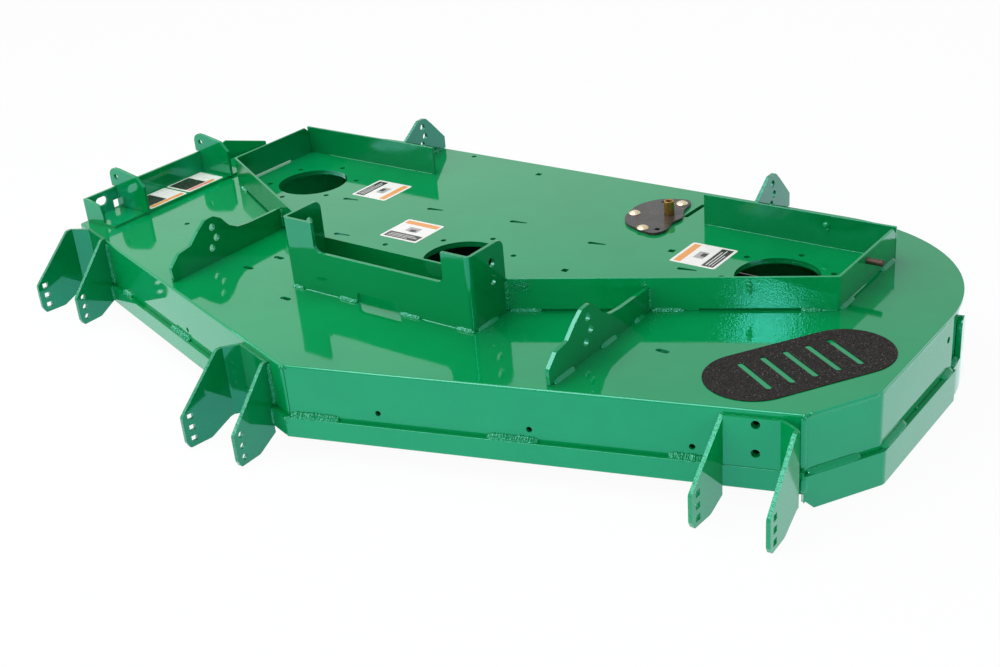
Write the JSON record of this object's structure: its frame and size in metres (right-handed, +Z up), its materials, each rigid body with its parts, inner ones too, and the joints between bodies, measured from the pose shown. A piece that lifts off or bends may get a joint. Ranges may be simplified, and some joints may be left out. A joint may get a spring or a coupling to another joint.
{
  "type": "mower deck shell",
  "caption": "Welded steel mower deck shell with a swept front, belt fences and tower, lift plates, gauge wheel brackets and a side discharge end.",
  "frame": {"origin": "axis of the centre blade spindle, at the top face of the deck plate", "axes": "+X along the deck, away from the discharge end; +Y to the rear; +Z up, out of the plate"},
  "size_m": [1.587, 0.9535, 0.268],
  "materials": {
    "green_paint": "glossy green powder coat over welded steel",
    "dark_paint": "black painted steel plate",
    "yellow_zinc": "yellow zinc plated steel",
    "spacer_brass": "yellow plated, turned",
    "bare_steel": "brown, lightly oxidised steel",
    "grip_grit": "black gritty non-slip sheet",
    "label_vinyl": "white printed vinyl with plain fields of colour"
  },
  "bodies": {
    "root": {"deck_plate": "green_paint", "right_skirt": "green_paint", "rear_skirt": "green_paint", "left_front_band": "green_paint", "front_band": "green_paint", "right_band": "green_paint", "rear_band": "green_paint", "left_belt_fence": "green_paint", "middle_belt_fence": "green_paint", "right_belt_fence": "green_paint", "left_rear_fence": "green_paint", "right_rear_fence": "green_paint", "belt_tower": "green_paint", "left_lift_plate": "green_paint", "right_lift_plate": "green_paint", "left_rear_lift_ear": "green_paint", "right_rear_lift_ear": "green_paint", "left_gauge_bracket": "green_paint", "center_gauge_bracket": "green_paint", "right_gauge_bracket": "green_paint", "discharge_channel": "green_paint", "front_hinge_ear": "green_paint", "rear_hinge_ear": "green_paint", "discharge_flange": "green_paint", "rear_lug": "green_paint", "left_spindle_doubler": "green_paint", "center_spindle_doubler": "green_paint", "right_spindle_doubler": "green_paint", "idler_plate": "dark_paint", "idler_bolts": "yellow_zinc", "idler_nuts": "yellow_zinc", "idler_spacer": "spacer_brass", "anchor_pin": "bare_steel", "grip_pad": "grip_grit", "left_plate_label": "label_vinyl", "center_plate_label": "label_vinyl", "right_plate_label": "label_vinyl", "front_channel_label": "label_vinyl", "rear_channel_label": "label_vinyl"}
  },
  "joints": []
}
